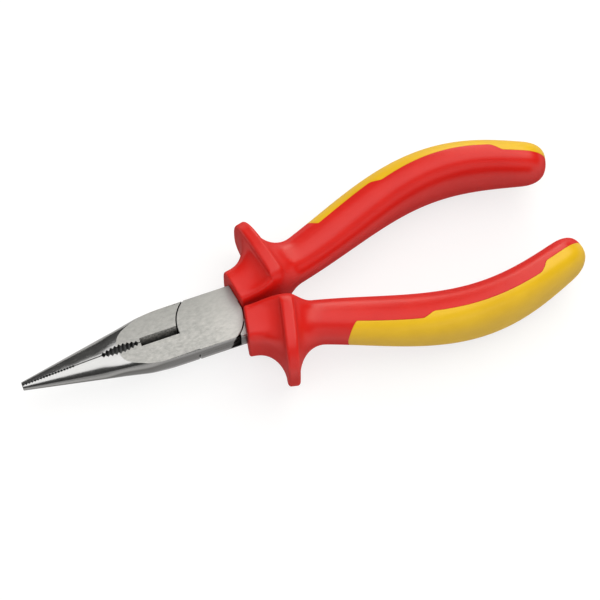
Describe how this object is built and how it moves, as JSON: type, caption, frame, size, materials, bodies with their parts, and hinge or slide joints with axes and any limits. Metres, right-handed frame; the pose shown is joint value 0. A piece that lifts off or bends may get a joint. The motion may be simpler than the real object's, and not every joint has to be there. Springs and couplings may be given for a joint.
{
  "type": "needle nose pliers",
  "caption": "Insulated needle nose pliers with half-round jaws, a pipe grip, a side cutter and guarded two-layer handles; the jaws open on a lap joint.",
  "frame": {"origin": "on the pivot axis at the back face of the head", "axes": "+X along the closed tool towards the handle ends, +Z along the pivot axis out of the front face, +Y towards the upper handle"},
  "size_m": [0.1591, 0.0554, 0.0254],
  "materials": {
    "steel": "satin ground faces, polished nose",
    "inner_insulation": "satin moulded yellow plastic",
    "outer_insulation": "satin moulded red plastic"
  },
  "bodies": {
    "back_lever": {"back_half": "steel", "lower_core": "inner_insulation", "lower_shell": "outer_insulation", "pivot_rivet": "steel"},
    "front_lever": {"front_half": "steel", "upper_core": "inner_insulation", "upper_shell": "outer_insulation"}
  },
  "joints": [
    {"name": "jaw_pivot", "type": "hinge", "parent": "back_lever", "child": "front_lever", "pos_m": [0, 0, 0.0039], "axis": [0, 0, 1], "range_deg": [0, 40]}
  ]
}
